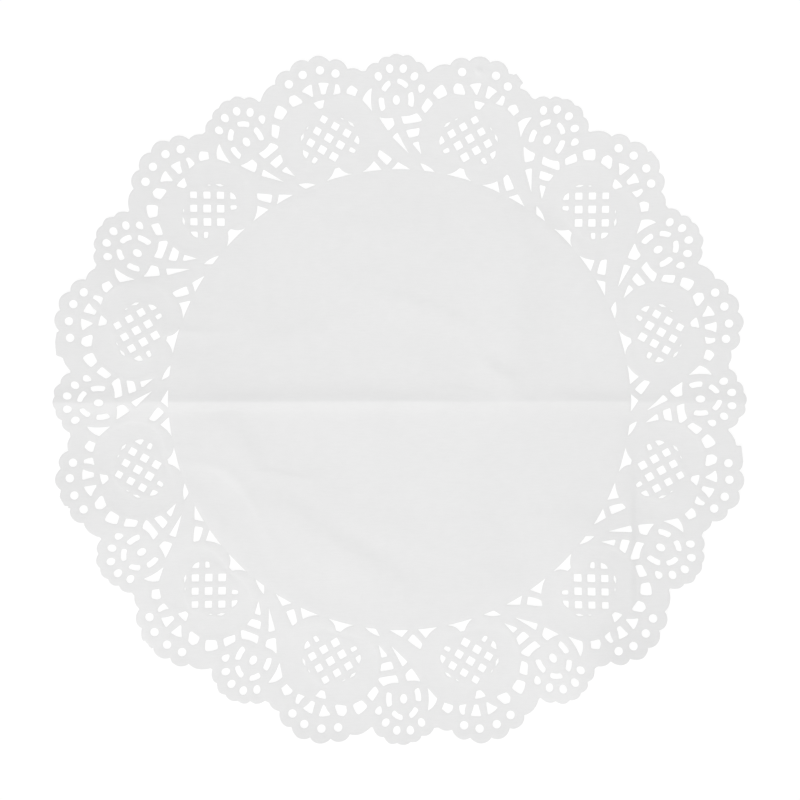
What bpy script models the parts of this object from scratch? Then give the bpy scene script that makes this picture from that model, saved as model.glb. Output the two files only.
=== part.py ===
"""A round die-cut paper lace doily, lying face up and opened out flat.

One sheet: a plain round centre inside a ring of lace that repeats twelve
times, with a scalloped outer edge. It was folded in half for packing, so a
soft ridge with a sharp crest runs straight across it, a little below the
middle. Units are metres, +Z is up, and the sheet rests on z = 0.

The lace is charted once, for one repeat, as it is designed: angles in
degrees clockwise from the line halfway between that repeat's two medallions,
and radii in millimetres from the centre of the sheet. A flower stands on
that line, leaning half a degree the other way. Here the lace has its outer
edge and its seven largest gaps. Its smaller holes are surface detail.
"""

from math import cos, hypot, pi, radians, sin, sqrt
from typing import NamedTuple

import bmesh
import bpy

MM = 0.001

# Driving dimensions
REPEATS = 12  # flowers round the edge
THICKNESS = 1.0 * MM
DISC_RADIUS = 99.65  # mm, of the plain round centre
EDGE_STEPS = 3  # straight runs along each side of a scallop
CORNER_STEPS = 1  # straight runs round a gap's corner

# The crease
CREASE_Y = -0.8 * MM  # the crest, in front of the centre
CREST = 1.5 * MM  # how far the crest stands above the flat sheet
CREST_UNEVEN = 0.35  # share by which its height changes along its length
CREASE_SLICES_X = (-75, -25, 25, 75)  # mm, where its height is set


class Rung(NamedTuple):
    """One pair of lines along the ridge, in front of and behind the crest."""

    away: float  # mm from the crest
    share: float  # of the crest's height


RIDGE = (
    Rung(away=0.0, share=1.00),
    Rung(away=1.6, share=0.66),
    Rung(away=4.5, share=0.34),
    Rung(away=10.0, share=0.10),
    Rung(away=18.0, share=0.00),
)


class Scallop(NamedTuple):
    """One lobe of the edge, from its own notch to the notch of the next row.

    rise and fall say how full its two sides are, from 0, a parabola, to 1, a
    quarter of an ellipse. A row with no peak is the open foot between a
    flower and a medallion.
    """

    name: str
    notch_deg: float
    notch_mm: float
    peak_deg: float | None = None
    peak_mm: float = 0.0
    rise: float = 0.0
    fall: float = 0.0


EDGE = (
    Scallop("medallion_3", -15.00, 151.10, -13.50, 152.65, rise=0.5, fall=0.3),
    Scallop("medallion_4", -11.60, 149.30, -10.80, 149.60, rise=0.3, fall=0.7),
    Scallop("shoulder_after", -8.85, 144.55, -8.20, 144.65, rise=0.3, fall=0.1),
    Scallop("foot_before", -6.55, 142.80),
    Scallop("flower_1", -5.75, 142.80, -4.20, 145.80, rise=0.3, fall=0.3),
    Scallop("flower_2", -3.50, 145.65, -2.20, 148.20, rise=0.8, fall=0.3),
    Scallop("flower_3", -1.62, 148.05, -0.50, 149.30, rise=0.2, fall=0.1),
    Scallop("flower_4", 0.62, 148.40, 1.45, 148.90, rise=0.3, fall=0.1),
    Scallop("flower_5", 2.85, 146.05, 3.20, 146.15, rise=0.3, fall=0.4),
    Scallop("foot_after", 4.82, 142.20),
    Scallop("shoulder_before", 5.22, 142.25, 8.10, 146.40, rise=0.1, fall=0.3),
    Scallop("medallion_1", 8.62, 146.30, 10.65, 150.40, rise=0.8, fall=0.3),
    Scallop("medallion_2", 11.65, 149.75, 13.60, 152.65, rise=0.5, fall=0.5),
)


class Gap(NamedTuple):
    """One hole between straight or bowed sides, corners clockwise.

    corners holds (degrees, mm) pairs, bows how far each side swells out of
    the hole in mm, from each corner to the next, and rounding how far from a
    corner its round begins.
    """

    name: str
    corners: tuple
    bows: tuple
    rounding: float


GAPS = (
    Gap(
        "ring_2",
        ((7.70, 137.60), (8.92, 133.50), (7.36, 130.95), (6.15, 133.35)),
        (0.35, 0.00, 0.00, 0.35),
        0.80,
    ),
    Gap(
        "ring_3",
        ((10.20, 139.20), (11.20, 139.10), (12.05, 136.00), (12.00, 134.75), (10.10, 134.45), (9.75, 136.90)),
        (0.00, 0.00, 0.10, 0.00, 0.00, 0.10),
        0.60,
    ),
    Gap(
        "fan_left",
        ((-4.10, 122.40), (-1.35, 121.90), (-0.98, 118.85), (-2.35, 116.25)),
        (-0.40, 0.10, 0.10, 0.10),
        0.70,
    ),
    Gap(
        "fan_right",
        ((0.35, 122.60), (3.42, 124.20), (4.60, 121.35), (4.35, 120.70), (0.90, 119.20)),
        (-0.60, 0.20, 0.00, 0.10, 0.05),
        0.60,
    ),
    Gap(
        "fan_second",
        ((1.38, 116.50), (4.25, 117.85), (4.15, 114.65), (2.05, 113.35)),
        (0.05, 0.00, 0.15, 0.00),
        0.60,
    ),
    Gap(
        "disc_slant",
        ((-4.55, 108.40), (-1.68, 104.10), (-3.02, 101.50), (-5.10, 106.00)),
        (0.10, 0.00, 0.15, 0.05),
        0.70,
    ),
    Gap(
        "medallion_foot",
        ((14.50, 103.60), (15.50, 103.60), (18.20, DISC_RADIUS), (11.80, DISC_RADIUS)),
        (0.00, -0.80, 0.00, -0.55),
        0.60,
    ),
)


def at(degrees, mm):
    """The point of the unturned repeat at this angle and radius, in mm."""
    return mm * sin(radians(degrees)), mm * cos(radians(degrees))


def turned(point, degrees):
    """The point turned clockwise about the centre of the sheet."""
    a = radians(degrees)
    x, y = point
    return x * cos(a) + y * sin(a), y * cos(a) - x * sin(a)


def fullness(share, full):
    """How much of a scallop's height is left this share of the way down a side."""
    return full * sqrt(max(0.0, 1 - share * share)) + (1 - full) * (1 - share * share)


def edge_of_repeat():
    """The outer edge of one repeat, in mm, clockwise."""
    points = []
    for row, after in zip(EDGE, EDGE[1:] + (EDGE[0],)):
        end_deg = after.notch_deg + (360 / REPEATS if after is EDGE[0] else 0)
        points.append(at(row.notch_deg, row.notch_mm))
        if row.peak_deg is None:
            continue
        for step in range(1, EDGE_STEPS):
            left = cos(step / EDGE_STEPS * pi / 2)
            points.append(
                at(
                    row.peak_deg + (row.notch_deg - row.peak_deg) * left,
                    row.notch_mm + (row.peak_mm - row.notch_mm) * fullness(left, row.rise),
                )
            )
        points.append(at(row.peak_deg, row.peak_mm))
        for step in range(1, EDGE_STEPS):
            gone = sin(step / EDGE_STEPS * pi / 2)
            points.append(
                at(
                    row.peak_deg + (end_deg - row.peak_deg) * gone,
                    after.notch_mm + (row.peak_mm - after.notch_mm) * fullness(gone, row.fall),
                )
            )
    return points


def outline_of_gap(gap):
    """The closed outline of a gap, in mm, with bowed sides and round corners."""
    corners = [at(*corner) for corner in gap.corners]
    middle = [sum(c[i] for c in corners) / len(corners) for i in (0, 1)]

    def on_side(index, share):
        (x0, y0), (x1, y1) = corners[index], corners[(index + 1) % len(corners)]
        length = hypot(x1 - x0, y1 - y0)
        out = ((y1 - y0) / length, (x0 - x1) / length)
        mx, my = (x0 + x1) / 2 - middle[0], (y0 + y1) / 2 - middle[1]
        if out[0] * mx + out[1] * my < 0:
            out = (-out[0], -out[1])
        swell = 4 * gap.bows[index] * share * (1 - share)
        return (
            x0 + (x1 - x0) * share + out[0] * swell,
            y0 + (y1 - y0) * share + out[1] * swell,
        )

    points = []
    for index, corner in enumerate(corners):
        before = (index - 1) % len(corners)
        length_before = hypot(*(a - b for a, b in zip(corner, corners[before])))
        length_after = hypot(*(a - b for a, b in zip(corner, corners[(index + 1) % len(corners)])))
        start = on_side(before, 1 - min(0.4, gap.rounding / length_before))
        end = on_side(index, min(0.4, gap.rounding / length_after))
        for step in range(CORNER_STEPS + 1):
            t = step / CORNER_STEPS
            points.append(
                tuple(
                    (1 - t) ** 2 * a + 2 * t * (1 - t) * c + t * t * b
                    for a, c, b in zip(start, corner, end)
                )
            )
        if abs(gap.bows[index]) > 0.2:
            points.append(on_side(index, 0.5))
    return points


def add_spline(curve, points_mm):
    spline = curve.splines.new("POLY")
    spline.points.add(len(points_mm) - 1)
    for target, (x, y) in zip(spline.points, points_mm):
        target.co = (x * MM, y * MM, 0.0, 1.0)
    spline.use_cyclic_u = True


def ridge_height(x, y):
    """How far the fold lifts the sheet at this place, in metres."""
    away = abs(y - CREASE_Y) / MM
    share = 0.0
    for near, far in zip(RIDGE, RIDGE[1:]):
        if near.away <= away <= far.away:
            along = (away - near.away) / (far.away - near.away)
            share = near.share + (far.share - near.share) * along
    uneven = 1 + CREST_UNEVEN * sin(x / (46 * MM) + 0.6) * 0.7 - CREST_UNEVEN * x / (300 * MM)
    return CREST * share * uneven


def material(name, colour, roughness):
    made = bpy.data.materials.new(name)
    made.use_nodes = True
    shader = made.node_tree.nodes["Principled BSDF"]
    shader.inputs["Base Color"].default_value = (*colour, 1.0)
    shader.inputs["Roughness"].default_value = roughness
    shader.inputs["Metallic"].default_value = 0.0
    return made


def main():
    for thing in list(bpy.data.objects):
        bpy.data.objects.remove(thing, do_unlink=True)
    home = bpy.data.collections.new("paper_lace_doily")
    bpy.context.scene.collection.children.link(home)

    # The flat sheet: the scalloped edge with the gaps inside it.
    curve = bpy.data.curves.new("doily_outline", "CURVE")
    curve.dimensions = "2D"
    curve.fill_mode = "BOTH"
    curve.extrude = THICKNESS / 2
    pitch = 360 / REPEATS
    turns = [repeat * pitch for repeat in range(REPEATS)]
    add_spline(curve, [turned(p, turn) for turn in turns for p in edge_of_repeat()])
    for turn in turns:
        for gap in GAPS:
            add_spline(curve, [turned(p, turn) for p in outline_of_gap(gap)])
    flat = bpy.data.objects.new("doily_outline", curve)
    flat.location.z = THICKNESS / 2
    home.objects.link(flat)
    bpy.context.view_layer.update()

    graph = bpy.context.evaluated_depsgraph_get()
    mesh = bpy.data.meshes.new_from_object(flat.evaluated_get(graph))
    doily = bpy.data.objects.new("doily", mesh)
    doily.matrix_world = flat.matrix_world
    home.objects.link(doily)
    bpy.data.objects.remove(flat, do_unlink=True)

    # The fold: slice the sheet along the ridge, then lift the slices.
    shape = bmesh.new()
    shape.from_mesh(mesh)
    shape.transform(doily.matrix_world)
    bmesh.ops.remove_doubles(shape, verts=shape.verts[:], dist=1e-6)
    for side in (-1, 1):
        for rung in RIDGE[0 if side > 0 else 1 :]:
            bmesh.ops.bisect_plane(
                shape,
                geom=shape.verts[:] + shape.edges[:] + shape.faces[:],
                dist=1e-7,
                plane_co=(0, CREASE_Y + side * rung.away * MM, 0),
                plane_no=(0, 1, 0),
            )
    for slice_x in CREASE_SLICES_X:
        near = [
            face
            for face in shape.faces
            if all(abs(v.co.y - CREASE_Y) < RIDGE[-1].away * MM + 1e-6 for v in face.verts)
        ]
        geometry = set(near)
        for face in near:
            geometry.update(face.edges)
            geometry.update(face.verts)
        bmesh.ops.bisect_plane(
            shape,
            geom=list(geometry),
            dist=1e-7,
            plane_co=(slice_x * MM, 0, 0),
            plane_no=(1, 0, 0),
        )
    bmesh.ops.triangulate(shape, faces=shape.faces[:])
    for vertex in shape.verts:
        vertex.co.z += ridge_height(vertex.co.x, vertex.co.y)
    bmesh.ops.recalc_face_normals(shape, faces=shape.faces[:])
    shape.to_mesh(mesh)
    shape.free()
    doily.matrix_world.identity()
    mesh.materials.clear()
    mesh.materials.append(material("white_paper", (0.82, 0.82, 0.81), 0.85))


main()
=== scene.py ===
"""The looks of a round die-cut paper lace doily, lying face up on a pale floor.

The sheet is cut, pressed and creased as the real one is. Its outline and its
600 holes come from one charted repeat of the lace, turned twelve times. The
paper between them is meshed, lifted by its packing crease, its wrinkles, the
pressed lines of the lace and the drag of the punch, and given its thickness.

Plans are in millimetres about the centre of the sheet, X to the right and Y
away from the camera's lower edge. Angles of the lace are degrees clockwise
from the line halfway between a repeat's two medallions.
"""

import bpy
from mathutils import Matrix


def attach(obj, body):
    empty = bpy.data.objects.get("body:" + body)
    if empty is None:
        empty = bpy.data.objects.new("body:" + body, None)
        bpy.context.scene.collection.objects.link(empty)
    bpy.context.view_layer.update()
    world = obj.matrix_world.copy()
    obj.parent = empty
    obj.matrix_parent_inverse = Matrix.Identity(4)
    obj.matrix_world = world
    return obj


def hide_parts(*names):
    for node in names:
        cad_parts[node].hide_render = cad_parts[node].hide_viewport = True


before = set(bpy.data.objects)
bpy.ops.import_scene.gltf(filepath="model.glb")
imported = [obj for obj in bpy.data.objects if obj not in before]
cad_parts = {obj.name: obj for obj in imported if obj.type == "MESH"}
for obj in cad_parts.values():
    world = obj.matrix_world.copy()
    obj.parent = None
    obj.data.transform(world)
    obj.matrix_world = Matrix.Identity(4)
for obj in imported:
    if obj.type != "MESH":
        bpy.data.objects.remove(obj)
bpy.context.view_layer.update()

from math import cos, hypot, pi, radians, sin, sqrt
from typing import NamedTuple

import bpy
import numpy as np
from mathutils import Vector
from mathutils.geometry import delaunay_2d_cdt
from mathutils.kdtree import KDTree

MM = 0.001

# ---------------------------------------------------------------- the sheet
REPEATS = 12
PITCH = 360 / REPEATS
DISC = 99.65  # radius of the plain centre
PAPER = 0.15  # thickness
# The punched sheet came out a little wider one way than the other.
STRETCH_XX, STRETCH_XY = 0.0017, -0.0024


class Pull(NamedTuple):
    """How far the lace is pulled out of round by the fold and the wrinkles."""

    deg: float
    out: float  # mm
    along: float  # mm, clockwise


PULLS = (
    Pull(0, 0.15, 0.10),
    Pull(30, -0.10, 0.20),
    Pull(45, 0.10, 0.35),
    Pull(60, -0.30, 0.45),
    Pull(75, -0.58, 0.60),
    Pull(90, -0.05, 0.50),
    Pull(94, -0.20, 0.05),
    Pull(105, -0.55, -0.05),
    Pull(120, -0.72, 0.10),
    Pull(136, -0.76, 0.15),
    Pull(150, -0.38, 0.00),
    Pull(195, -0.12, -0.10),
    Pull(240, -0.20, -0.16),
    Pull(256, -0.28, -0.10),
    Pull(266, -0.05, -0.05),
    Pull(274, 0.00, -0.55),
    Pull(288, -0.05, -0.58),
    Pull(302, -0.15, -0.38),
    Pull(320, -0.10, -0.08),
    Pull(360, 0.15, 0.10),
)
PULL_FROM, PULL_TO = 60.0, 104.0  # it dies away over the plain centre

# ----------------------------------------------------------- the lace chart


class Scallop(NamedTuple):
    """One lobe of the edge, from its own notch to the notch of the next row.

    rise and fall say how full its two sides are, from 0, a parabola, to 1, a
    quarter of an ellipse. A row with no peak is an open foot between lobes.
    """

    name: str
    notch_deg: float
    notch_mm: float
    peak_deg: float | None = None
    peak_mm: float = 0.0
    rise: float = 0.0
    fall: float = 0.0


EDGE = (
    Scallop("medallion_3", -15.00, 150.95, -13.50, 152.70, rise=0.5, fall=0.3),
    Scallop("medallion_4", -11.60, 149.00, -10.80, 149.60, rise=0.3, fall=0.7),
    Scallop("shoulder_after", -8.87, 144.50, -8.20, 144.65, rise=0.3, fall=0.1),
    Scallop("foot_before", -6.55, 142.75),
    Scallop("flower_1", -5.75, 142.75, -4.20, 145.80, rise=0.3, fall=0.3),
    Scallop("flower_2", -3.48, 145.60, -2.20, 148.20, rise=0.8, fall=0.3),
    Scallop("flower_3", -1.62, 148.00, -0.50, 149.35, rise=0.2, fall=0.1),
    Scallop("flower_4", 0.62, 148.35, 1.45, 148.90, rise=0.3, fall=0.1),
    Scallop("flower_5", 2.85, 146.00, 3.20, 146.15, rise=0.3, fall=0.4),
    Scallop("foot_after", 4.82, 142.15),
    Scallop("shoulder_before", 5.22, 142.20, 8.10, 146.42, rise=0.1, fall=0.3),
    Scallop("medallion_1", 8.66, 146.20, 10.65, 150.42, rise=0.8, fall=0.3),
    Scallop("medallion_2", 11.67, 149.40, 13.60, 152.70, rise=0.5, fall=0.5),
)


class Cell(NamedTuple):
    """A hole between straight or bowed sides. Corners are clockwise, and each
    bow says how far the side after that corner swells out of the hole."""

    name: str
    corners: tuple
    bows: tuple
    rounding: float


# corners in degrees and mm about the centre of the sheet
CELLS = (
    Cell("ring_1", ((5.30, 131.10), (6.50, 128.75), (5.12, 124.30), (4.25, 126.60)), (0.10, 0.05, 0.10, 0.00), 0.7),
    Cell("ring_2", ((7.70, 137.60), (8.92, 133.50), (7.36, 130.95), (6.15, 133.35)), (0.35, 0.00, 0.00, 0.35), 0.8),
    Cell(
        "ring_3",
        ((10.20, 139.20), (11.20, 139.10), (12.05, 136.00), (12.00, 134.75), (10.10, 134.45), (9.75, 136.90)),
        (0.00, 0.00, 0.10, 0.00, 0.00, 0.10),
        0.6,
    ),
    Cell("ring_4", ((14.55, 141.40), (14.25, 135.95), (13.90, 136.20), (12.45, 139.50)), (-0.05, 0.00, -0.25, 0.40), 0.7),
    Cell("ring_5", ((15.68, 141.25), (17.60, 139.90), (16.55, 135.70), (15.72, 136.05)), (0.20, -0.35, 0.05, -0.15), 0.7),
    Cell("ring_6", ((18.48, 139.00), (19.10, 138.80), (19.20, 134.70), (17.78, 134.75)), (0.05, 0.30, 0.00, -0.40), 0.6),
    Cell(
        "ring_7",
        ((21.40, 137.45), (22.48, 134.90), (21.85, 132.30), (20.25, 134.15), (20.52, 136.00)),
        (0.10, -0.30, -0.10, 0.05, 0.10),
        0.6,
    ),
    Cell("ring_cleft", ((13.93, 133.40), (16.12, 133.40), (15.45, 130.20), (14.60, 130.20)), (0.20, -0.20, 0.00, 0.00), 0.7),
    Cell("crescent", ((-4.98, 135.15), (-5.33, 125.15), (-6.98, 130.35)), (-0.50, -0.05, 0.70), 0.45),
    Cell("fan_left", ((-4.10, 122.40), (-1.35, 121.90), (-0.98, 118.85), (-2.35, 116.25)), (-0.40, 0.10, 0.10, 0.10), 0.7),
    Cell(
        "fan_right",
        ((0.35, 122.60), (3.42, 124.20), (4.60, 121.35), (4.35, 120.70), (0.90, 119.20)),
        (-0.60, 0.20, 0.00, 0.10, 0.05),
        0.6,
    ),
    Cell("fan_second", ((1.38, 116.50), (4.25, 117.85), (4.15, 114.65), (2.05, 113.35)), (0.05, 0.00, 0.15, 0.00), 0.6),
    Cell("fan_third", ((2.98, 111.20), (4.22, 111.95), (5.10, 106.50), (3.05, 110.50)), (0.05, 0.00, 0.00, 0.00), 0.4),
    Cell("fan_sliver", ((-0.42, 115.50), (2.20, 106.50), (-1.52, 113.50)), (0.00, 0.00, 0.10), 0.45),
    Cell("disc_slant", ((-4.55, 108.40), (-1.68, 104.10), (-3.02, 101.50), (-5.10, 106.00)), (0.10, 0.00, 0.15, 0.05), 0.6),
    Cell("disc_before", ((-6.05, 103.80), (-4.35, DISC), (-9.20, DISC)), (0.00, -0.09, -0.45), 0.35),
    Cell("disc_middle", ((-0.33, 102.75), (2.68, DISC + 0.05), (-1.95, DISC + 0.05)), (0.05, -0.09, -0.10), 0.35),
    Cell("disc_after", ((5.00, 102.75), (8.82, DISC), (6.20, DISC)), (0.55, -0.06, 0.10), 0.35),
    Cell("medallion_foot", ((14.45, 103.65), (15.55, 103.65), (18.25, DISC), (11.75, DISC)), (0.00, -0.80, -0.15, -0.55), 0.35),
)

# The medallion: its centre, then the clipped squares at the rim of its window,
# each with its mirror image. Corners are mm across and along its own axis.
MEDALLION_DEG, MEDALLION_MM = 15.0, 116.77
CLIPPED = (
    Cell("lattice_corner", ((12.15, -1.65), (12.45, -3.80), (11.70, -5.80), (9.95, -3.80)), (0.05, 0.10, 0.05, 0.05), 0.5),
    Cell("lattice_foot", ((8.00, -5.80), (9.98, -7.80), (8.80, -8.85), (6.75, -7.35)), (0.05, 0.00, 0.00, 0.00), 0.6),
    Cell("lattice_sliver", ((9.85, 5.20), (11.45, 3.85), (11.95, 2.10), (10.52, 3.22)), (0.05, 0.05, 0.00, 0.00), 0.3),
    Cell("lattice_nick", ((7.15, 7.50), (7.95, 6.98), (8.36, 6.18), (7.52, 6.72)), (0.00, 0.00, 0.00, 0.00), 0.2),
)


class Square(NamedTuple):
    """A whole square of the lattice."""

    across: int  # half steps from the medallion's centre
    along: int
    share: float  # of the full size


STEP_ACROSS, STEP_ALONG, LATTICE_LIFT = 4.02, 4.16, 0.30  # mm
SQUARE_ACROSS, SQUARE_ALONG, SQUARE_ROUND = 2.27, 2.35, 0.4  # mm, half its diagonals
LATTICE = (
    Square(0, 2, 0.87),
    Square(-1, 1, 0.93),
    Square(1, 1, 0.92),
    Square(-2, 0, 0.94),
    Square(0, 0, 1.02),
    Square(2, 0, 0.95),
    Square(-1, -1, 1.01),
    Square(1, -1, 0.99),
    Square(0, -2, 1.01),
)


class Eyelet(NamedTuple):
    name: str
    deg: float
    mm: float
    width: float
    length: float
    lean: float = 0.0  # degrees clockwise
    taper: float = 0.0  # share by which the near end is narrower


# angles and radii about the centre of the sheet
MEDALLION_EYELETS = (
    Eyelet("eyelet_1", 10.80, 144.30, 3.60, 3.70, lean=10.8),
    Eyelet("eyelet_2", 13.53, 146.28, 3.60, 3.66, lean=13.5),
    Eyelet("eyelet_3", 16.53, 146.28, 3.60, 3.66, lean=16.5),
    Eyelet("eyelet_4", 19.00, 143.50, 3.64, 3.66, lean=19.0),
)

# angles and radii about the flower's own centre
FLOWER_DEG, FLOWER_MM = -0.56, 129.44
FLOWER_EYELETS = (
    Eyelet("flower_heart", 0.0, 0.0, 3.06, 4.16),
    Eyelet("petal_1", -37.1, 12.76, 3.10, 3.85, lean=-20, taper=0.08),
    Eyelet("petal_2", -11.9, 13.80, 3.20, 3.88, lean=-8, taper=0.12),
    Eyelet("petal_3", 12.4, 13.87, 3.20, 3.85, lean=12, taper=0.08),
    Eyelet("petal_4", 37.2, 12.86, 3.15, 3.85, lean=35),
    Eyelet("petal_5", 65.1, 11.80, 2.75, 3.80, lean=19, taper=0.35),
)


class Arc(NamedTuple):
    """A curved slot round the flower's heart."""

    name: str
    start: float  # degrees about the flower's centre
    end: float


ARC_OUTER = (7.58, 9.40)  # mm, half axes across and along
ARC_INNER = (5.22, 7.08)
ARCS = (
    Arc("arc_1", -54.0, -19.5),
    Arc("arc_2", 3.5, 39.0),
    Arc("arc_3", 62.0, 113.0),
    Arc("arc_4", 232.5, 278.5),
)

# ------------------------------------------- what the punch left irregular
# An eyelet that stayed in the sheet, pushed up a little: repeat and name.
UNPUNCHED = (0, "eyelet_2")


class Snip(NamedTuple):
    """Where the edge was cut straight, from corner to corner. Corners are
    degrees clockwise from +Y and mm about the centre of the sheet."""

    name: str
    corners: tuple


SNIPS = (
    Snip("tab_far", ((18.45, 148.80), (19.05, 149.15), (19.28, 149.05), (19.60, 149.95), (21.28, 147.30), (20.98, 145.80), (21.02, 144.60))),
    Snip("flat_far_right", ((44.75, 151.40), (45.00, 153.00), (47.10, 152.50), (48.00, 150.90))),
    Snip("tab_right", ((97.60, 146.40), (97.50, 148.50), (100.20, 150.50))),
    Snip("flat_near_left", ((224.75, 151.10), (224.95, 152.40), (226.65, 151.90))),
    Snip("flat_left", ((252.05, 149.80), (252.30, 151.60), (254.00, 152.50), (255.00, 151.10))),
    Snip("tab_left", ((277.30, 146.50), (277.50, 149.10), (279.70, 150.40), (281.30, 150.50))),
)

# -------------------------------------------------------- what is pressed in
# Grooves and steps of the embossing die, in mm.
DISC_LINE_MM, DISC_LINE_DEEP, DISC_LINE_WIDE = 99.05, 0.045, 0.34
BAND_EDGE = 0.36  # half the width of the step down to the plain band round a window


class Press(NamedTuple):
    """How deep the die pressed, which was not the same all the way round."""

    deg: float
    deep: float
    painted_groove_shade: float  # how much painted shade darkens the pressed groove round the plain centre


PRESS = (
    Press(0, 0.035, 0.0),
    Press(30, 0.043, 0.6),
    Press(60, 0.050, 0.9),
    Press(120, 0.080, 0.3),
    Press(180, 0.070, 0.0),
    Press(225, 0.100, 0.0),
    Press(270, 0.115, 0.0),
    Press(315, 0.070, 0.0),
    Press(360, 0.035, 0.0),
)


class Reach(NamedTuple):
    """How far the medallion's plain band reaches in one direction."""

    turn: float  # degrees clockwise from straight outwards
    window: float  # mm to its inner edge
    rim: float  # mm to its outer edge


BAND = (
    Reach(0, 11.2, 12.7),
    Reach(14, 11.2, 15.4),
    Reach(30, 10.9, 18.9),
    Reach(45, 11.3, 20.1),
    Reach(62, 12.2, 20.5),
    Reach(80, 12.8, 20.6),
    Reach(98, 13.2, 20.5),
    Reach(115, 13.5, 19.8),
    Reach(132, 13.2, 18.0),
    Reach(150, 12.2, 15.2),
    Reach(166, 11.2, 13.2),
    Reach(180, 10.8, 12.5),
)
RIM_DRAG, RIM_REACH = 0.60, 0.34  # the punch drags a cut edge down, as a share of the press
PAINTED_SHADE_REACH, PAINTED_SHADE_DARK = 0.68, 0.016  # mm beside a cut that painted shade reaches, and how much darker it makes the paper
# painted shade along the pressed groove round the plain centre: its radius and width in mm
GROOVE_SHADE_MM, GROOVE_SHADE_WIDE = 98.8, 0.42

# ------------------------------------------------------------ the packing fold


class Fold(NamedTuple):
    """The ridge at one place along the sheet."""

    x: float
    crest_y: float
    front_slope: float  # of its side towards the camera's lower edge
    front: float  # mm that the steep part of that side reaches
    back_slope: float
    back: float
    behind: float  # mm that the sheet behind the ridge is held up


FOLD = (
    Fold(-152, -1.22, 0.105, 4.5, 0.165, 2.3, 0.60),
    Fold(-132, -1.22, 0.110, 4.3, 0.165, 2.3, 0.65),
    Fold(-116, -1.04, 0.122, 4.0, 0.135, 2.2, 0.80),
    Fold(-98, -0.82, 0.137, 4.3, 0.120, 1.9, 1.00),
    Fold(-86, -0.90, 0.145, 4.9, 0.125, 1.9, 1.00),
    Fold(-78, -0.90, 0.152, 5.5, 0.150, 1.9, 0.75),
    Fold(-70, -0.88, 0.150, 5.4, 0.185, 1.9, 0.15),
    Fold(-57, -0.88, 0.142, 4.8, 0.200, 2.0, 0.00),
    Fold(-45, -0.83, 0.134, 4.5, 0.190, 2.1, 0.05),
    Fold(-24, -0.73, 0.133, 4.3, 0.165, 2.1, 0.20),
    Fold(-11, -0.68, 0.140, 4.2, 0.180, 2.0, 0.30),
    Fold(9, -0.64, 0.152, 4.0, 0.150, 1.6, 0.20),
    Fold(26, -0.84, 0.112, 3.5, 0.140, 1.8, 0.10),
    Fold(39, -0.90, 0.090, 3.8, 0.145, 1.8, 0.00),
    Fold(44, -0.88, 0.088, 4.0, 0.130, 1.8, 0.00),
    Fold(56, -0.70, 0.088, 4.4, 0.110, 1.8, 0.00),
    Fold(67, -0.62, 0.086, 4.6, 0.130, 1.8, 0.00),
    Fold(78, -0.60, 0.084, 4.7, 0.180, 1.6, 0.00),
    Fold(90, -0.70, 0.078, 4.4, 0.200, 1.5, 0.05),
    Fold(104, -0.88, 0.066, 4.0, 0.135, 1.7, 0.20),
    Fold(130, -0.92, 0.032, 3.8, 0.125, 2.2, 0.40),
    Fold(152, -1.05, 0.028, 3.8, 0.125, 2.4, 0.50),
)
BEHIND_REACH = 27.0  # mm over which what is held up behind comes down
FRONT_REACH, BACK_REACH = 140.0, 60.0  # and over which one side makes up for the other


class Rung(NamedTuple):
    """How steep a side of the ridge is, this many reaches from its crest."""

    away: float
    front: float
    back: float


RUNGS = (
    Rung(0.0, 1.00, 0.55),
    Rung(0.5, 1.00, 0.75),
    Rung(0.97, 0.96, 0.95),
    Rung(1.15, 0.42, 1.00),
    Rung(1.4, 0.20, 1.00),
    Rung(2.0, 0.16, 0.88),
    Rung(3.0, 0.10, 0.50),
    Rung(4.0, 0.06, 0.22),
    Rung(5.0, 0.04, 0.09),
    Rung(6.5, 0.03, 0.00),
    Rung(14.0, 0.01, 0.00),
    Rung(16.0, 0.00, 0.00),
)

# ------------------------------------------------------------- the wrinkles


class Wrinkle(NamedTuple):
    """A soft ridge, or with a negative height a trough, along a bent line."""

    name: str
    start: tuple
    bend: tuple
    end: tuple
    left: float  # mm from its middle to where it is 0.6 as high, on the left
    right: float  # and on the right, going from start to end
    height: float


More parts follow.
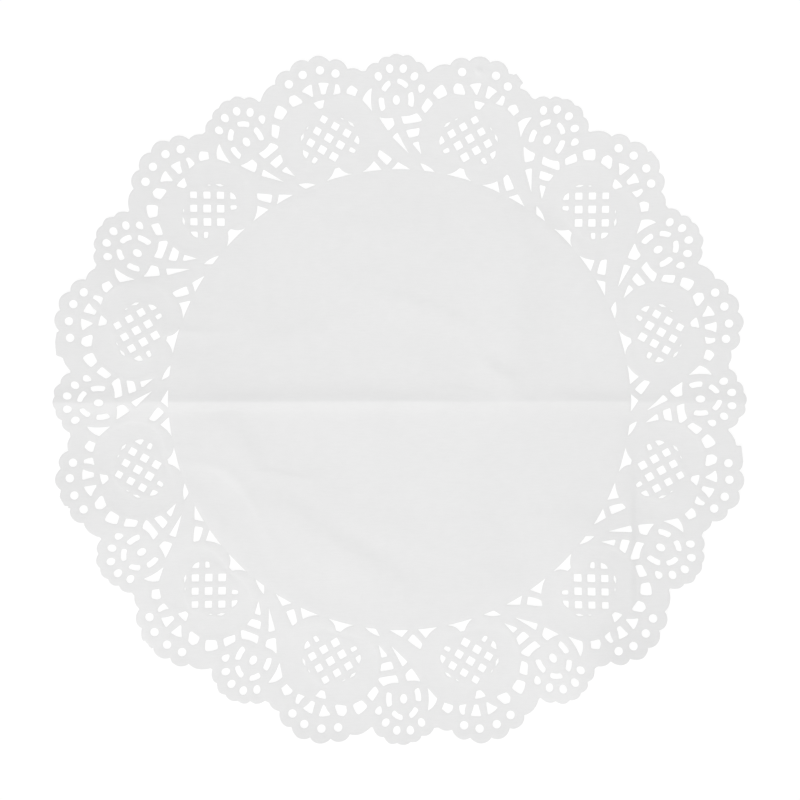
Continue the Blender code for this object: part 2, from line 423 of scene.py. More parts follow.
WRINKLES = (
    Wrinkle("pinch_by_fold", (35.0, 15.0), (43.0, 11.2), (52.0, 4.5), 2.9, 13.0, 0.72),
    Wrinkle("pinch_tail", (31.0, 24.0), (34.0, 21.5), (38.0, 14.0), 2.2, 3.4, 0.14),
    Wrinkle("fold_double", (12.0, 4.6), (26.0, 6.2), (39.5, 2.0), 0.9, 1.7, 0.12),
    Wrinkle("high_left_pleat", (-105.0, 28.6), (-92.0, 30.4), (-78.0, 28.6), 1.5, 1.7, 0.22),
    Wrinkle("high_left_pleat_end", (-80.0, 28.6), (-74.0, 29.6), (-64.0, 31.5), 2.0, 2.2, 0.10),
    Wrinkle("high_left_streak", (-93.0, 38.6), (-85.0, 39.2), (-78.0, 38.8), 1.4, 2.2, 0.11),
    Wrinkle("top_streak", (-61.0, 26.6), (-43.0, 28.6), (-22.0, 35.5), 2.0, 5.0, 0.26),
    Wrinkle("top_dimple", (-13.0, 45.8), (12.0, 42.5), (33.0, 29.5), 2.3, 5.0, 0.32),
    Wrinkle("top_right_ridge", (55.0, 84.0), (50.0, 45.0), (46.5, -2.0), 6.2, 11.0, 1.25),
    Wrinkle("top_edge_streak", (-53.0, 81.0), (-45.0, 85.5), (-34.0, 89.5), 2.0, 3.2, 0.16),
    Wrinkle("top_faint_1", (-64.0, 50.3), (-56.0, 51.0), (-47.0, 50.2), 1.9, 1.3, 0.08),
    Wrinkle("top_faint_2", (-35.0, 74.8), (-20.0, 76.2), (-5.0, 72.0), 3.2, 2.2, 0.12),
    Wrinkle("top_faint_3", (-7.0, 73.4), (5.0, 74.6), (16.0, 73.6), 1.3, 2.4, 0.07),
    Wrinkle("top_faint_4", (-30.0, 50.0), (-12.0, 53.0), (4.0, 51.0), 3.4, 5.0, 0.12),
    Wrinkle("far_right_edge_streak", (56.0, 83.0), (64.0, 76.0), (73.0, 65.5), 1.6, 2.6, 0.24),
    Wrinkle("low_left_spur", (-76.5, -5.0), (-75.5, -14.0), (-60.5, -35.0), 5.0, 12.0, 0.92),
    Wrinkle("low_left_streak", (-101.0, -20.0), (-90.0, -20.8), (-79.0, -19.6), 1.3, 2.2, 0.10),
    Wrinkle("low_left_ridge", (-101.0, -30.5), (-70.0, -15.0), (-52.0, -70.0), 2.4, 1.9, 0.29),
    Wrinkle("low_left_second", (-94.0, -36.0), (-84.0, -47.0), (-68.0, -65.0), 3.2, 1.9, 0.17),
    Wrinkle("low_left_line", (-64.0, -30.2), (-50.0, -33.6), (-33.0, -34.0), 1.6, 5.0, 0.27),
    Wrinkle("low_long_ridge", (-62.0, -37.5), (-38.0, -56.0), (8.0, -86.0), 3.6, 10.0, 0.55),
    Wrinkle("low_long_second", (-37.0, -45.0), (-9.0, -58.5), (15.0, -68.0), 8.0, 2.8, 0.30),
    Wrinkle("low_right_dip", (36.0, -6.0), (48.0, -40.0), (49.0, -80.0), 9.0, 7.0, -0.28),
    Wrinkle("low_edge_streak", (8.0, -84.0), (30.0, -80.6), (53.0, -83.6), 2.2, 1.6, 0.09),
    Wrinkle("low_edge_rim", (-72.0, -70.0), (-17.0, -120.0), (50.0, -87.0), 4.0, 9.0, 0.26),
    Wrinkle("low_right_crease",(99.6, -26.0), (99.2, -62.0), (99.8, -97.0), 1.3, 7.0, 0.60),
    Wrinkle("low_right_ridge", (80.0, -134.0), (82.0, -98.0), (87.0, -46.0), 17.0, 10.0, 1.70),
    Wrinkle("left_lace_ridge", (-157.0, -47.0), (-128.0, -53.0), (-84.0, -56.0), 15.0, 15.0, 1.30),
    Wrinkle("far_left_pucker", (-130.0, 45.0), (-114.0, 52.5), (-97.0, 45.5), 1.8, 6.0, 0.24),
    Wrinkle("fold_ripple_1", (-133.5, -0.5), (-131.0, 2.0), (-130.5, 6.0), 0.9, 0.9, 0.16),
    Wrinkle("fold_ripple_2", (-126.0, 0.0), (-123.5, 2.5), (-123.0, 6.5), 1.0, 1.0, 0.18),
    Wrinkle("fold_ripple_3", (-117.5, 0.2), (-115.0, 2.8), (-110.0, 4.0), 1.1, 1.1, 0.12),
)


class Swell(NamedTuple):
    """A broad low rise where the sheet doesn't quite lie down."""

    name: str
    x: float
    y: float
    across: float
    along: float
    height: float


SWELLS = (
    Swell("low_right_lace", 96, -132, 22, 23, 4.00),
    Swell("low_left_lace", -94, -88, 16, 15, 0.45),
    Swell("left_lace", -124, 30, 20, 28, 1.90),
    Swell("left_lace_far", -130, 60, 10, 11, 0.55),
    Swell("right_lace", 128, 36, 18, 24, 0.35),
    Swell("far_lace", 0, 145, 22, 14, 0.80),
    Swell("top_lace", -34, 128, 22, 15, 0.35),
    Swell("right_of_centre", 86, -72, 16, 24, 1.10),
    Swell("far_right_low", 130, -84, 18, 24, 1.70),
    Swell("dimple_far_left", -72, 58, 2.2, 1.6, 0.10),
    Swell("dimple_far", 18, 72.2, 1.3, 1.2, 0.06),
)


class Curl(NamedTuple):
    """Where the scalloped edge turns up: degrees clockwise from +Y."""

    deg: float
    half_width: float
    rise: float  # mm at the tip


CURLS = (
    Curl(0, 13, 0.30),
    Curl(52, 12, 0.55),
    Curl(98, 10, 0.50),
    Curl(134, 9, 1.50),
    Curl(149, 7, 1.30),
    Curl(164, 7, 0.75),
    Curl(181, 6, 1.00),
    Curl(196, 7, 1.00),
    Curl(218, 4, 1.20),
    Curl(226, 5, -1.00),
    Curl(236, 6, 0.30),
    Curl(249, 6, 0.80),
    Curl(318, 14, 0.35),
)
CURL_FROM, CURL_TO = 136.0, 153.0


class Wave(NamedTuple):
    """One of the slow waves that all damp-cut paper keeps."""

    length: float
    toward: float  # degrees
    phase: float
    height: float


WAVES = (
    Wave(92, 20, 0.6, 0.110),
    Wave(71, 74, 2.1, 0.085),
    Wave(58, 131, 4.0, 0.070),
    Wave(43, 158, 1.3, 0.045),
    Wave(37, 43, 5.2, 0.040),
    Wave(27, 102, 3.3, 0.024),
    Wave(21, 12, 0.2, 0.015),
    Wave(17, 80, 2.8, 0.011),
)

# ------------------------------------------------------------ drawing the lace


def at(deg, mm):
    """The point at this angle, clockwise from +Y, and this radius."""
    return mm * sin(radians(deg)), mm * cos(radians(deg))


def turned(point, deg):
    """The point turned clockwise about the origin."""
    a = radians(deg)
    x, y = point
    return x * cos(a) + y * sin(a), y * cos(a) - x * sin(a)


def moved(point, by):
    return point[0] + by[0], point[1] + by[1]


def pulled(points):
    """The points of the true pattern where the finished sheet has them."""
    x, y = np.array(points, float).reshape(-1, 2).T
    x, y = x + STRETCH_XX * x + STRETCH_XY * y, y + STRETCH_XY * x - STRETCH_XX * y
    radius = np.maximum(np.hypot(x, y), 1e-6)
    turn = np.degrees(np.arctan2(x, y)) % 360
    share = np.clip((radius - PULL_FROM) / (PULL_TO - PULL_FROM), 0, 1)
    share = share * share * (3 - 2 * share) / radius
    out = np.interp(turn, [row.deg for row in PULLS], [row.out for row in PULLS]) * share
    along = np.interp(turn, [row.deg for row in PULLS], [row.along for row in PULLS]) * share
    return np.stack([x + out * x + along * y, y + out * y - along * x], axis=1)


def fullness(share, full):
    """How much of a scallop's height is left this share of the way down a side."""
    return full * sqrt(max(0.0, 1 - share * share)) + (1 - full) * (1 - share * share)


def edge_of_repeat(steps=14):
    """The scalloped edge of one repeat, clockwise, as degrees and mm."""
    points = []
    for row, after in zip(EDGE, EDGE[1:] + (EDGE[0],)):
        end_deg = after.notch_deg + (PITCH if after is EDGE[0] else 0)
        if row.peak_deg is None:
            for step in range(steps):
                t = step / steps
                points.append(
                    (
                        row.notch_deg + (end_deg - row.notch_deg) * t,
                        row.notch_mm + (after.notch_mm - row.notch_mm) * t,
                    )
                )
            continue
        points.append((row.notch_deg, row.notch_mm))
        for step in range(1, steps + 1):
            left = cos(step / steps * pi / 2)
            points.append(
                (
                    row.peak_deg + (row.notch_deg - row.peak_deg) * left,
                    row.notch_mm + (row.peak_mm - row.notch_mm) * fullness(left, row.rise),
                )
            )
        for step in range(1, steps):
            gone = sin(step / steps * pi / 2)
            points.append(
                (
                    row.peak_deg + (end_deg - row.peak_deg) * gone,
                    after.notch_mm + (row.peak_mm - after.notch_mm) * fullness(gone, row.fall),
                )
            )
    return points


def whole_edge():
    """The edge all the way round in mm, with its straight snips."""
    edge = [(deg + repeat * PITCH, mm) for repeat in range(REPEATS) for deg, mm in edge_of_repeat()]
    for row in SNIPS:
        first, last = min(deg for deg, _ in row.corners), max(deg for deg, _ in row.corners)
        place = next(i for i, (deg, _) in enumerate(edge) if deg >= first)
        edge = [point for point in edge if not first <= point[0] <= last]
        edge[place:place] = row.corners
    return [at(deg, mm) for deg, mm in edge]


def even_loop(points, spacing, soften):
    """The closed loop through the points, softened over this many mm and with
    its points evenly this far apart."""
    loop = np.array(points + points[:1], float)
    along = np.concatenate([[0], np.cumsum(np.hypot(*np.diff(loop, axis=0).T))])
    fine = max(16, int(along[-1] / 0.08))
    at_fine = np.arange(fine) * along[-1] / fine
    dense = np.stack([np.interp(at_fine, along, loop[:, i]) for i in (0, 1)], axis=1)
    if soften > 0:
        reach = int(3 * soften / 0.08) + 1
        offsets = np.arange(-reach, reach + 1)
        weights = np.exp(-0.5 * (offsets * 0.08 / soften) ** 2)
        weights /= weights.sum()
        dense = sum(w * np.roll(dense, -o, axis=0) for w, o in zip(weights, offsets))
    count = max(12, round(along[-1] / spacing))
    picked = (np.arange(count) * fine / count).astype(int)
    return dense[picked]


def rounded(corners, bows, rounding, corner_steps=3, side_mm=1.25):
    """The closed outline of a cell, with bowed sides and round corners."""
    n = len(corners)
    area = sum(a[0] * b[1] - b[0] * a[1] for a, b in zip(corners, corners[1:] + corners[:1]))
    hand = 1 if area < 0 else -1  # clockwise corners have the outside on their left

    def length_of(i):
        (x0, y0), (x1, y1) = corners[i], corners[(i + 1) % n]
        return hypot(x1 - x0, y1 - y0)

    def on_side(i, t):
        (x0, y0), (x1, y1) = corners[i], corners[(i + 1) % n]
        swell = 4 * bows[i] * t * (1 - t) * hand / length_of(i)
        return x0 + (x1 - x0) * t - (y1 - y0) * swell, y0 + (y1 - y0) * t + (x1 - x0) * swell

    def cut(i):
        return min(0.45, rounding / length_of(i))

    points = []
    for i, corner in enumerate(corners):
        before = (i - 1) % n
        start, end = on_side(before, 1 - cut(before)), on_side(i, cut(i))
        for step in range(corner_steps + 1):
            t = step / corner_steps
            points.append(
                tuple(
                    (1 - t) ** 2 * a + 2 * t * (1 - t) * c + t * t * b
                    for a, c, b in zip(start, corner, end)
                )
            )
        run = length_of(i) * (1 - 2 * cut(i))
        steps = max(1, round(run / side_mm))
        for step in range(1, steps):
            points.append(on_side(i, cut(i) + (1 - 2 * cut(i)) * step / steps))
    return points


def oval(width, length, taper=0.0, steps=20):
    points = []
    for step in range(steps):
        a = 2 * pi * step / steps
        along = cos(a)
        points.append((width / 2 * sin(a) * (1 + taper * along), length / 2 * along))
    return points


def ellipse_mm(half, deg):
    """The ellipse's radius at this angle from its long axis."""
    return 1 / hypot(sin(radians(deg)) / half[0], cos(radians(deg)) / half[1])


def arc_cell(row):
    """A slot between two ellipses, with round corners."""
    outer = [at(a, ellipse_mm(ARC_OUTER, a)) for a in (row.start, row.end)]
    inner = [at(a, ellipse_mm(ARC_INNER, a)) for a in (row.end, row.start)]
    middle = (row.start + row.end) / 2
    bow = [
        hypot(*(a - (b + c) / 2 for a, b, c in zip(at(middle, ellipse_mm(half, middle)), *ends)))
        for half, ends in ((ARC_OUTER, outer), (ARC_INNER, inner))
    ]
    return rounded(outer + inner, (bow[0], 0.1, -bow[1], 0.1), 0.8)


def holes_of_repeat():
    """The outline of each hole of the unturned repeat."""
    found = {row.name: rounded([at(*c) for c in row.corners], row.bows, row.rounding) for row in CELLS}
    centre = at(MEDALLION_DEG, MEDALLION_MM)

    def in_medallion(point):
        return moved(turned(point, MEDALLION_DEG), centre)

    for row in CLIPPED:
        shape = rounded(list(row.corners), row.bows, row.rounding, corner_steps=2)
        for side, word in ((-1, "left"), (1, "right")):
            found[f"{row.name}_{word}"] = [in_medallion((x * side, y)) for x, y in shape]
    for row in LATTICE:
        cx, cy = row.across * STEP_ACROSS, row.along * STEP_ALONG + LATTICE_LIFT
        a, b = SQUARE_ACROSS * row.share, SQUARE_ALONG * row.share
        shape = rounded([(cx, cy + b), (cx + a, cy), (cx, cy - b), (cx - a, cy)], (0.0,) * 4, SQUARE_ROUND, corner_steps=2)
        found[f"lattice_{row.across}_{row.along}"] = [in_medallion(p) for p in shape]
    for row in MEDALLION_EYELETS:
        place = at(row.deg, row.mm)
        found[row.name] = [moved(turned(p, row.lean), place) for p in oval(row.width, row.length, row.taper)]
    flower = at(FLOWER_DEG, FLOWER_MM)
    for row in FLOWER_EYELETS:
        place = moved(at(row.deg, row.mm), flower)
        found[row.name] = [moved(turned(p, row.lean), place) for p in oval(row.width, row.length, row.taper)]
    for row in ARCS:
        found[row.name] = [moved(p, flower) for p in arc_cell(row)]
    return found


def draw_lace():
    """The outline and all the holes, as arrays of points in mm."""
    outline = pulled(even_loop(whole_edge(), spacing=0.56, soften=0.20))
    holes = {}
    for name, shape in holes_of_repeat().items():
        for repeat in range(REPEATS):
            if (repeat, name) != UNPUNCHED:
                holes[repeat, name] = pulled([turned(p, repeat * PITCH) for p in shape])
    return outline, holes


# --------------------------------------------------------- meshing the paper


def inside(points, loop):
    """Which of the points are inside the closed loop."""
    x, y = points[:, 0], points[:, 1]
    found = np.zeros(len(points), bool)
    for (x0, y0), (x1, y1) in zip(loop, np.roll(loop, -1, axis=0)):
        if y0 == y1:
            continue
        crosses = (y0 > y) != (y1 > y)
        found ^= crosses & (x < (x1 - x0) * (y - y0) / (y1 - y0) + x0)
    return found


def on_paper(points, outline, holes):
    """Which of the points are on the sheet and not in a hole."""
    radius = np.hypot(points[:, 0], points[:, 1])
    kept = radius < 155
    near_edge = np.nonzero(kept & (radius > 139))[0]
    kept[near_edge] = inside(points[near_edge], outline)
    for loop in holes.values():
        low, high = loop.min(axis=0), loop.max(axis=0)
        near = np.nonzero(((points > low) & (points < high)).all(axis=1))[0]
        if len(near):
            kept[near[inside(points[near], loop)]] = False
    return kept


def tree_of(points):
    tree = KDTree(len(points))
    for i, (x, y) in enumerate(points):
        tree.insert((x, y, 0), i)
    tree.balance()
    return tree


def distances(points, tree):
    return np.array([tree.find((x, y, 0))[2] for x, y in points])


def beside(loop, outward, away):
    """Points this far from the loop, over the middle of each of its sides."""
    after = np.roll(loop, -1, axis=0)
    side = after - loop
    length = np.hypot(side[:, 0], side[:, 1])[:, None]
    area = 0.5 * np.sum(loop[:, 0] * after[:, 1] - after[:, 0] * loop[:, 1])
    normal = np.stack([side[:, 1], -side[:, 0]], axis=1) / length  # outwards if anticlockwise
    return (loop + after) / 2 + normal * away * (1 if area > 0 else -1) * (1 if outward else -1)


def hex_grid(spacing, reach):
    rows = int(reach / (spacing * 0.866)) + 1
    columns = int(reach / spacing) + 1
    j, i = np.mgrid[-rows : rows + 1, -columns : columns + 1]
    x = (i + 0.5 * (j % 2)) * spacing
    y = j * spacing * 0.866
    return np.stack([x.ravel(), y.ravel()], axis=1)


def ring(radius, spacing, shift=0.0):
    count = int(2 * pi * radius / spacing)
    a = (np.arange(count) + shift) * 2 * pi / count
    return np.stack([radius * np.sin(a), radius * np.cos(a)], axis=1)


def bent_line(row, steps=32):
    t = np.linspace(0, 1, steps)[:, None]
    start, bend, end = (np.array(p, float) for p in (row.start, row.bend, row.end))
    return (1 - t) ** 2 * start + 2 * t * (1 - t) * bend + t * t * end


def crest_y(x):
    return np.interp(x, [row.x for row in FOLD], [row.crest_y for row in FOLD])


def eyelet_left_in():
    """The middle of the eyelet that the punch left in the sheet."""
    repeat, name = UNPUNCHED
    row = next(row for row in MEDALLION_EYELETS if row.name == name)
    return pulled(at(row.deg + repeat * PITCH, row.mm))[0]


def scattered(outline, holes):
    """The points inside the paper, closest together where it bends most."""
    loops = [outline, *holes.values()]
    fine = np.concatenate(
        [
            np.concatenate([loop + (np.roll(loop, -1, axis=0) - loop) * t for t in (0, 0.25, 0.5, 0.75)])
            for loop in loops
        ]
    )
    edge_tree = tree_of(fine)
    chosen = []

    def add(points, from_edge, apart):
        points = points[on_paper(points, outline, holes)]
        points = points[distances(points, edge_tree) > from_edge]
        if chosen and len(points):
            points = points[distances(points, tree_of(np.concatenate(chosen))) > apart]
        if len(points):
            chosen.append(points)

    # the crest of the fold, with close rows either side of it
    for away, spacing in ((0.0, 1.3), (0.24, 1.3), (0.65, 1.4), (1.2, 1.6), (2.0, 1.8), (2.9, 1.9), (3.8, 2.0), (4.9, 2.2)):
        for side in (-1, 1) if away else (1,):
            x = np.arange(-152, 152, spacing) + (spacing / 2 if away in (0.24, 1.2, 2.9, 4.9) else 0)
            add(np.stack([x, crest_y(x) + side * away], axis=1), 0.36, 0.20)
    # the eyelet that is still in
    near = hex_grid(0.45, 3)
    add(near[np.hypot(near[:, 0], near[:, 1]) < 2.7] + eyelet_left_in(), 0.4, 0.2)
    # a loop of points round each hole and inside the scallops
    add(beside(outline, False, 0.42), 0.34, 0.34)
    add(np.concatenate([beside(loop, True, 0.38) for loop in holes.values()]), 0.30, 0.34)
    add(beside(outline, False, 1.15), 0.80, 0.55)
    # the pressed lines
    for radius, shift in ((98.3, 0.0), (98.75, 0.5), (99.05, 0.0), (99.4, 0.5)):
        add(ring(radius, 1.35, shift), 0.40, 0.36)
    for name in ("window", "rim"):
        for away in (-0.45, 0.0, 0.45):
            add(band_points(name, away), 0.55, 0.42)
    # narrow wrinkles
    for row in WRINKLES:
        wide = min(row.left, row.right)
        if wide < 2.7:
            near = hex_grid(wide * 0.72, 160)
            line = bent_line(row)
            low, high = line.min(axis=0) - 2.4 * wide, line.max(axis=0) + 2.4 * wide
            near = near[((near > low) & (near < high)).all(axis=1)]
            if len(near):
                add(near[distances(near, tree_of(line)) < 2.2 * wide], 0.6, wide * 0.5)
    grid = hex_grid(1.7, 156)
    radius = np.hypot(grid[:, 0], grid[:, 1])
    add(grid[radius > DISC - 2], 0.90, 1.05)
    grid = hex_grid(2.65, 100)
    add(grid[np.hypot(grid[:, 0], grid[:, 1]) < DISC - 1], 1.2, 1.5)
    return np.concatenate(chosen), edge_tree


def band_points(name, away):
    """Points along an edge of each medallion's band, shifted outwards by away."""
    turns = np.arange(-180, 180, 5.2)
    reach = np.interp(np.abs(turns), [row.turn for row in BAND], [getattr(row, name) for row in BAND]) + away
    own = np.stack([reach * np.sin(np.radians(turns)), reach * np.cos(np.radians(turns))], axis=1)
    points = []
    for repeat in range(REPEATS):
        deg = MEDALLION_DEG + repeat * PITCH
        centre = at(deg, MEDALLION_MM)
        points += [moved(turned(p, deg), centre) for p in own]
    return pulled(points)


# -------------------------------------------------------- lifting the paper


def ridge_drop(away, side):
    """How far a side has come down this many reaches from the crest, for a
    steepest slope and a reach of 1."""
    steps = np.linspace(0, RUNGS[-1].away, 801)
    steep = np.interp(steps, [row.away for row in RUNGS], [getattr(row, side) for row in RUNGS])
    drop = np.concatenate([[0], np.cumsum((steep[1:] + steep[:-1]) / 2 * np.diff(steps))])
    return np.interp(away, steps, drop)


def eased(t):
    t = np.clip(t, 0, 1)
    return t * t * (3 - 2 * t)


def fold_height(x, y):
    def read(name):
        return np.interp(x, [row.x for row in FOLD], [getattr(row, name) for row in FOLD])

    away = y - read("crest_y")
    front, back, behind = read("front"), read("back"), read("behind")
    front_scale, back_scale = read("front_slope") * front, read("back_slope") * back
    front_all, back_all = front_scale * ridge_drop(99, "front"), back_scale * ridge_drop(99, "back")
    crest = np.maximum(front_all, back_all + behind)
    before = crest - front_scale * ridge_drop(-away / front, "front") - (crest - front_all) * eased(-away / FRONT_REACH)
    after = (
        crest
        - back_scale * ridge_drop(away / back, "back")
        - behind * np.clip(away / BEHIND_REACH, 0, 1)
        - (crest - back_all - behind) * eased(away / BACK_REACH)
    )
    return np.where(away < 0, before, after)


def wrinkle_height(x, y):
    total = np.zeros(len(x))
    for row in WRINKLES:
        line = bent_line(row)
        reach = 4 * max(row.left, row.right)
        low, high = line.min(axis=0) - reach, line.max(axis=0) + reach
        near = np.nonzero((x > low[0]) & (x < high[0]) & (y > low[1]) & (y < high[1]))[0]
        if not len(near):
            continue
        away = np.full(len(near), 1e9)
        along = np.zeros(len(near))
        wide = np.ones(len(near))
        for step, (a, b) in enumerate(zip(line, line[1:])):
            side = b - a
            dx, dy = x[near] - a[0], y[near] - a[1]
            t = np.clip((dx * side[0] + dy * side[1]) / (side @ side), 0, 1)
            here = np.hypot(dx - side[0] * t, dy - side[1] * t)
            closer = here < away
            away = np.where(closer, here, away)
            along = np.where(closer, (step + t) / (len(line) - 1), along)
            wide = np.where(closer, np.where(side[0] * dy > side[1] * dx, row.left, row.right), wide)
        fade = 1 - np.abs(2 * along - 1) ** 3
        total[near] += row.height * np.exp(-0.5 * (away / wide) ** 2) * (0.15 + 0.85 * fade)
    return total


def band_depth(x, y):
    """How far the die presses the plain bands of the medallions down."""
    total = np.zeros(len(x))
    for repeat in range(REPEATS):
        deg = MEDALLION_DEG + repeat * PITCH
        cx, cy = pulled(at(deg, MEDALLION_MM))[0]
        near = np.nonzero(np.hypot(x - cx, y - cy) < 24)[0]
        dx, dy = x[near] - cx, y[near] - cy
        turn = np.degrees(np.arctan2(dx, dy)) - deg
        turn = np.abs((turn + 180) % 360 - 180)
        radius = np.hypot(dx, dy)
        window = np.interp(turn, [row.turn for row in BAND], [row.window for row in BAND])
        rim = np.interp(turn, [row.turn for row in BAND], [row.rim for row in BAND])
        share = 0.5 * (np.tanh((radius - window) / BAND_EDGE) - np.tanh((radius - rim) / BAND_EDGE))
        total[near] += pressed(deg) * share
    return total


def pressed(turn):
    return np.interp(turn, [row.deg for row in PRESS], [row.deep for row in PRESS])


def lift(points, from_edge):
    """The height of the sheet's upper face at each point, in mm."""
    x, y = points[:, 0], points[:, 1]
    radius = np.hypot(x, y)
    height = fold_height(x, y) + wrinkle_height(x, y)
    for row in SWELLS:
        height += row.height * np.exp(-0.5 * (((x - row.x) / row.across) ** 2 + ((y - row.y) / row.along) ** 2))
    turn = np.degrees(np.arctan2(x, y)) % 360
    outer = np.clip((radius - CURL_FROM) / (CURL_TO - CURL_FROM), 0, 1) ** 2.5
    for row in CURLS:
        off = (turn - row.deg + 180) % 360 - 180
        height += row.rise * outer * np.exp(-0.5 * (off / row.half_width) ** 2)
    for row in WAVES:
        a = radians(row.toward)
        height += row.height * np.sin((x * cos(a) + y * sin(a)) * 2 * pi / row.length + row.phase)
    height -= DISC_LINE_DEEP * np.exp(-0.5 * ((radius - DISC_LINE_MM) / DISC_LINE_WIDE) ** 2)
    height -= band_depth(x, y)
    height -= RIM_DRAG * pressed(turn) * np.exp(-from_edge / RIM_REACH)
    # the eyelet that the punch only pushed up
    cx, cy = eyelet_left_in()
    height += 0.34 * np.exp(-0.5 * (((x - cx) ** 2 + (y - cy) ** 2) / 1.05**2))
    return height


def cut_paper():
    """The sheet as one thin closed mesh."""
    outline, holes = draw_lace()
    loops = [outline, *holes.values()]
    inner, edge_tree = scattered(outline, holes)
    # a little jitter keeps the long rows from meeting in one line
    inner = inner + np.random.default_rng(12).uniform(-0.02, 0.02, inner.shape)
    rim = np.concatenate(loops)
    edges, start = [], 0
    for loop in loops:
        edges += [(start + i, start + (i + 1) % len(loop)) for i in range(len(loop))]
        start += len(loop)
    places = np.concatenate([rim, inner])
    made, _, faces, *_ = delaunay_2d_cdt([Vector(p) for p in places.tolist()], edges, [], 0, 1e-6)
    points = np.array([tuple(p) for p in made])
    faces = np.array(faces)
    faces = faces[on_paper(points[faces].mean(axis=1), outline, holes)]
    used, faces = np.unique(faces, return_inverse=True)
    points, faces = points[used], faces.reshape(-1, 3)
    a, b, c = (points[faces[:, i]] for i in range(3))
    flipped = (b[:, 0] - a[:, 0]) * (c[:, 1] - a[:, 1]) < (b[:, 1] - a[:, 1]) * (c[:, 0] - a[:, 0])
    faces[flipped] = faces[flipped][:, ::-1]

    from_edge = distances(points, edge_tree)
    top = lift(points, from_edge)
    top += PAPER - top.min() + 0.01
    count = len(points)
    vertices = np.concatenate(
        [
            np.column_stack([points, top]),
            np.column_stack([points, top - PAPER]),
        ]
    )
    sides = np.concatenate([faces[:, [0, 1]], faces[:, [1, 2]], faces[:, [2, 0]]])
    keys = {(int(p), int(q)) for p, q in sides}
    walls = [(p, p + count, q + count, q) for p, q in sorted(keys) if (q, p) not in keys]
    mesh = bpy.data.meshes.new("doily_paper")
    mesh.from_pydata(
        (vertices * MM).tolist(),
        [],
        faces.tolist() + (faces[:, ::-1] + count).tolist() + walls,
    )
    mesh.update()
    # painted shade: the paper is darkened along every cut edge and along the pressed groove round the plain centre
    painted_shade = mesh.attributes.new("painted_shade_at_edges", "FLOAT", "POINT")
    turn = np.degrees(np.arctan2(points[:, 0], points[:, 1])) % 360
    groove_shade = np.interp(turn, [row.deg for row in PRESS], [row.painted_groove_shade for row in PRESS]) * np.exp(
        -(((np.hypot(points[:, 0], points[:, 1]) - GROOVE_SHADE_MM) / GROOVE_SHADE_WIDE) ** 2)
    )
    painted_shade.data.foreach_set("value", np.tile(np.maximum(np.exp(-((from_edge / PAINTED_SHADE_REACH) ** 4)), groove_shade), 2))
    mesh.shade_smooth()
    mesh.set_sharp_from_angle(angle=radians(50))
    paper = bpy.data.objects.new("doily_paper", mesh)
    bpy.context.scene.collection.objects.link(paper)
    return paper, 2 * len(faces) + 2 * len(walls)


# ---------------------------------------------------------------- the paper


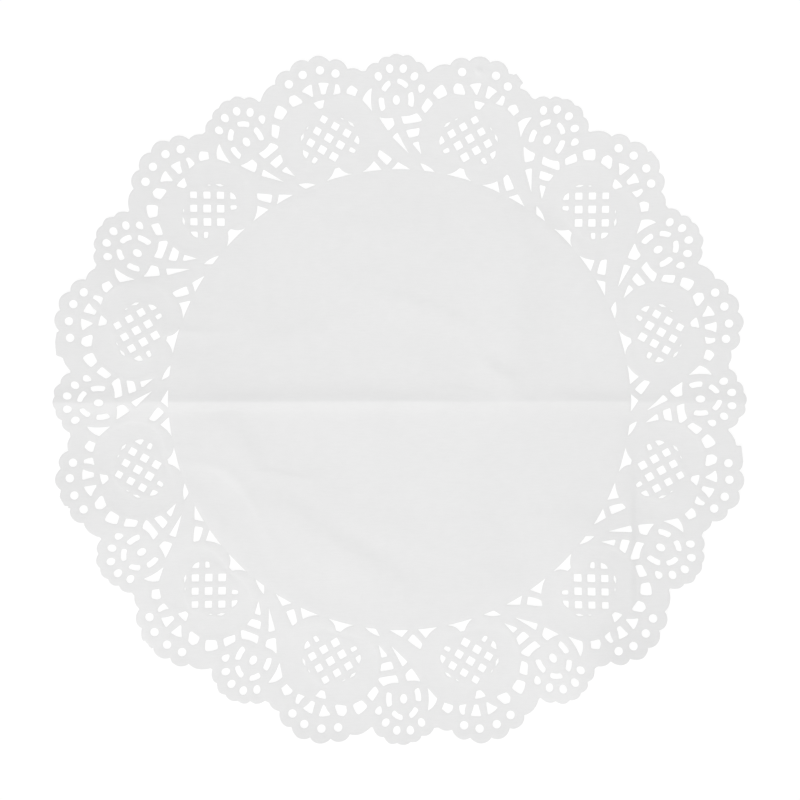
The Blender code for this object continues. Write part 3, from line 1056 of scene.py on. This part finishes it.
def paper_material():
    """Matt uncoated paper: cloudy formation, a faint grain of fibres one way,
    and a soft tooth, darkened by painted shade along its cut edges."""
    made = bpy.data.materials.new("white_paper_matt")
    made.use_nodes = True
    nodes, links = made.node_tree.nodes, made.node_tree.links
    shader = nodes["Principled BSDF"]
    shader.inputs["Metallic"].default_value = 0.0
    shader.inputs["Specular IOR Level"].default_value = 0.25

    def node(kind, **values):
        n = nodes.new(kind)
        for key, value in values.items():
            setattr(n, key, value)
        return n

    def noise(vector, scale, detail, rough=0.5):
        n = node("ShaderNodeTexNoise")
        n.inputs["Scale"].default_value = scale
        n.inputs["Detail"].default_value = detail
        n.inputs["Roughness"].default_value = rough
        links.new(vector, n.inputs["Vector"])
        return n.outputs["Fac"]

    def maths(operation, a, b):
        n = node("ShaderNodeMath", operation=operation)
        for socket, value in zip(n.inputs, (a, b)):
            if isinstance(value, (int, float)):
                socket.default_value = value
            else:
                links.new(value, socket)
        return n.outputs[0]

    place = node("ShaderNodeTexCoord").outputs["Object"]
    grain_space = node("ShaderNodeMapping")
    grain_space.inputs["Rotation"].default_value = (0, 0, radians(6))
    grain_space.inputs["Scale"].default_value = (0.16, 1.0, 1.0)
    links.new(place, grain_space.inputs["Vector"])

    clouds = noise(place, 190, 3.0, 0.55)  # formation, about 5 mm
    fibres = noise(grain_space.outputs["Vector"], 1500, 2.0, 0.6)
    tooth = noise(place, 2600, 2.0, 0.6)

    tone = maths("ADD", maths("MULTIPLY", clouds, 0.38), maths("MULTIPLY", fibres, 0.45))
    ramp = node("ShaderNodeValToRGB")
    ramp.color_ramp.elements[0].position = 0.215
    ramp.color_ramp.elements[0].color = (0.792, 0.792, 0.792, 1)
    ramp.color_ramp.elements[1].position = 0.615
    ramp.color_ramp.elements[1].color = (0.822, 0.822, 0.822, 1)
    links.new(tone, ramp.inputs["Fac"])
    # painted shade at the cut edges and the pressed groove, multiplied into the paper's colour
    painted_shade = node("ShaderNodeAttribute", attribute_type="GEOMETRY", attribute_name="painted_shade_at_edges")
    painted_shade_mix = node("ShaderNodeMix", data_type="RGBA", blend_type="MULTIPLY")
    sockets = {(socket.name, socket.type): socket for socket in painted_shade_mix.inputs if socket.enabled}
    links.new(maths("MULTIPLY", painted_shade.outputs["Fac"], 1.0), sockets["Factor", "VALUE"])
    links.new(ramp.outputs["Color"], sockets["A", "RGBA"])
    sockets["B", "RGBA"].default_value = (1 - PAINTED_SHADE_DARK, 1 - PAINTED_SHADE_DARK, 1 - PAINTED_SHADE_DARK, 1)
    links.new(next(out for out in painted_shade_mix.outputs if out.enabled), shader.inputs["Base Color"])

    rough = node("ShaderNodeMapRange")
    rough.inputs["To Min"].default_value = 0.80
    rough.inputs["To Max"].default_value = 0.92
    links.new(clouds, rough.inputs["Value"])
    links.new(rough.outputs["Result"], shader.inputs["Roughness"])

    height = maths("ADD", maths("MULTIPLY", clouds, 0.7), maths("MULTIPLY", tooth, 0.16))
    height = maths("ADD", height, maths("MULTIPLY", fibres, 0.20))
    bump = node("ShaderNodeBump")
    bump.inputs["Strength"].default_value = 0.30
    bump.inputs["Distance"].default_value = 0.00005
    links.new(height, bump.inputs["Height"])
    links.new(bump.outputs["Normal"], shader.inputs["Normal"])
    return made


paper, triangles = cut_paper()
paper.data.materials.append(paper_material())
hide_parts("doily")
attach(paper, "root")
print("doily_paper triangles:", triangles)

# ------------------------------------------------------------------ the floor


def floor_material():
    """A white light table: matt, and lit from below so that it is a shade
    brighter than the paper on it."""
    made = bpy.data.materials.new("pale_floor")
    made.use_nodes = True
    shader = made.node_tree.nodes["Principled BSDF"]
    shader.inputs["Base Color"].default_value = (0.16, 0.16, 0.16, 1)
    shader.inputs["Roughness"].default_value = 1.0
    shader.inputs["Specular IOR Level"].default_value = 0.0
    shader.inputs["Emission Color"].default_value = (1, 1, 1, 1)
    shader.inputs["Emission Strength"].default_value = 0.87
    return made


floor_mesh = bpy.data.meshes.new("floor")
floor_mesh.from_pydata([(-40, -40, 0), (40, -40, 0), (40, 40, 0), (-40, 40, 0)], [], [(0, 1, 2, 3)])
floor = bpy.data.objects.new("floor", floor_mesh)
floor_mesh.materials.append(floor_material())
bpy.context.scene.collection.objects.link(floor)

# ------------------------------------------------------------------ the light
world = bpy.data.worlds.new("studio")
bpy.context.scene.world = world
world.use_nodes = True
sky, sky_links = world.node_tree.nodes, world.node_tree.links
sky["Background"].inputs["Strength"].default_value = 1.0
looking = sky.new("ShaderNodeTexCoord")
apart = sky.new("ShaderNodeSeparateXYZ")
wall = sky.new("ShaderNodeValToRGB")  # brighter walls low down, a softer ceiling
wall.color_ramp.elements[0].position = 0.16
wall.color_ramp.elements[0].color = (1.05, 1.05, 1.05, 1)
wall.color_ramp.elements[1].position = 0.34
wall.color_ramp.elements[1].color = (0.42, 0.42, 0.42, 1)
sky_links.new(looking.outputs["Generated"], apart.inputs["Vector"])
sky_links.new(apart.outputs["Z"], wall.inputs["Fac"])
sky_links.new(wall.outputs["Color"], sky["Background"].inputs["Color"])


def softbox(name, place, watts, size):
    """A round light aimed at the sheet."""
    lamp = bpy.data.lights.new(name, "AREA")
    lamp.shape = "DISK"
    lamp.size = size
    lamp.energy = watts
    made = bpy.data.objects.new(name, lamp)
    made.location = place
    made.rotation_euler = (-Vector(place)).to_track_quat("-Z", "Y").to_euler()
    made.visible_camera = False
    bpy.context.scene.collection.objects.link(made)


def strip(name, place, watts, width, length, turn):
    """A long light that faces straight down, turned clockwise."""
    lamp = bpy.data.lights.new(name, "AREA")
    lamp.shape = "RECTANGLE"
    lamp.size, lamp.size_y = width, length
    lamp.energy = watts
    made = bpy.data.objects.new(name, lamp)
    made.location = place
    made.rotation_euler = (0, 0, -radians(turn))
    made.visible_camera = False
    bpy.context.scene.collection.objects.link(made)


KEY_FROM, KEY_UP, KEY_AWAY = 205.0, 38.0, 10.0  # degrees clockwise from +Y, degrees, metres
key_flat = KEY_AWAY * cos(radians(KEY_UP))
softbox(
    "key",
    (key_flat * sin(radians(KEY_FROM)), key_flat * cos(radians(KEY_FROM)), KEY_AWAY * sin(radians(KEY_UP))),
    430.0,
    4.4,
)
strip("overhead", (0.0, 0.0, 0.60), 2.25, width=0.2, length=1.8, turn=16)

# ----------------------------------------------------------------- the camera
PHOTO_SIDE = 0.3456  # metres across the whole frame
lens = bpy.data.cameras.new("camera")
lens.lens = 85
lens.sensor_width = 36
camera = bpy.data.objects.new("camera", lens)
camera.location = (0.0001, 0.0, PHOTO_SIDE / 2 / (18 / 85))
camera.rotation_euler = (0, 0, 0)
lens.clip_start, lens.clip_end = 0.01, 200
bpy.context.scene.collection.objects.link(camera)
bpy.context.scene.camera = camera
bpy.context.scene.view_settings.view_transform = "Standard"
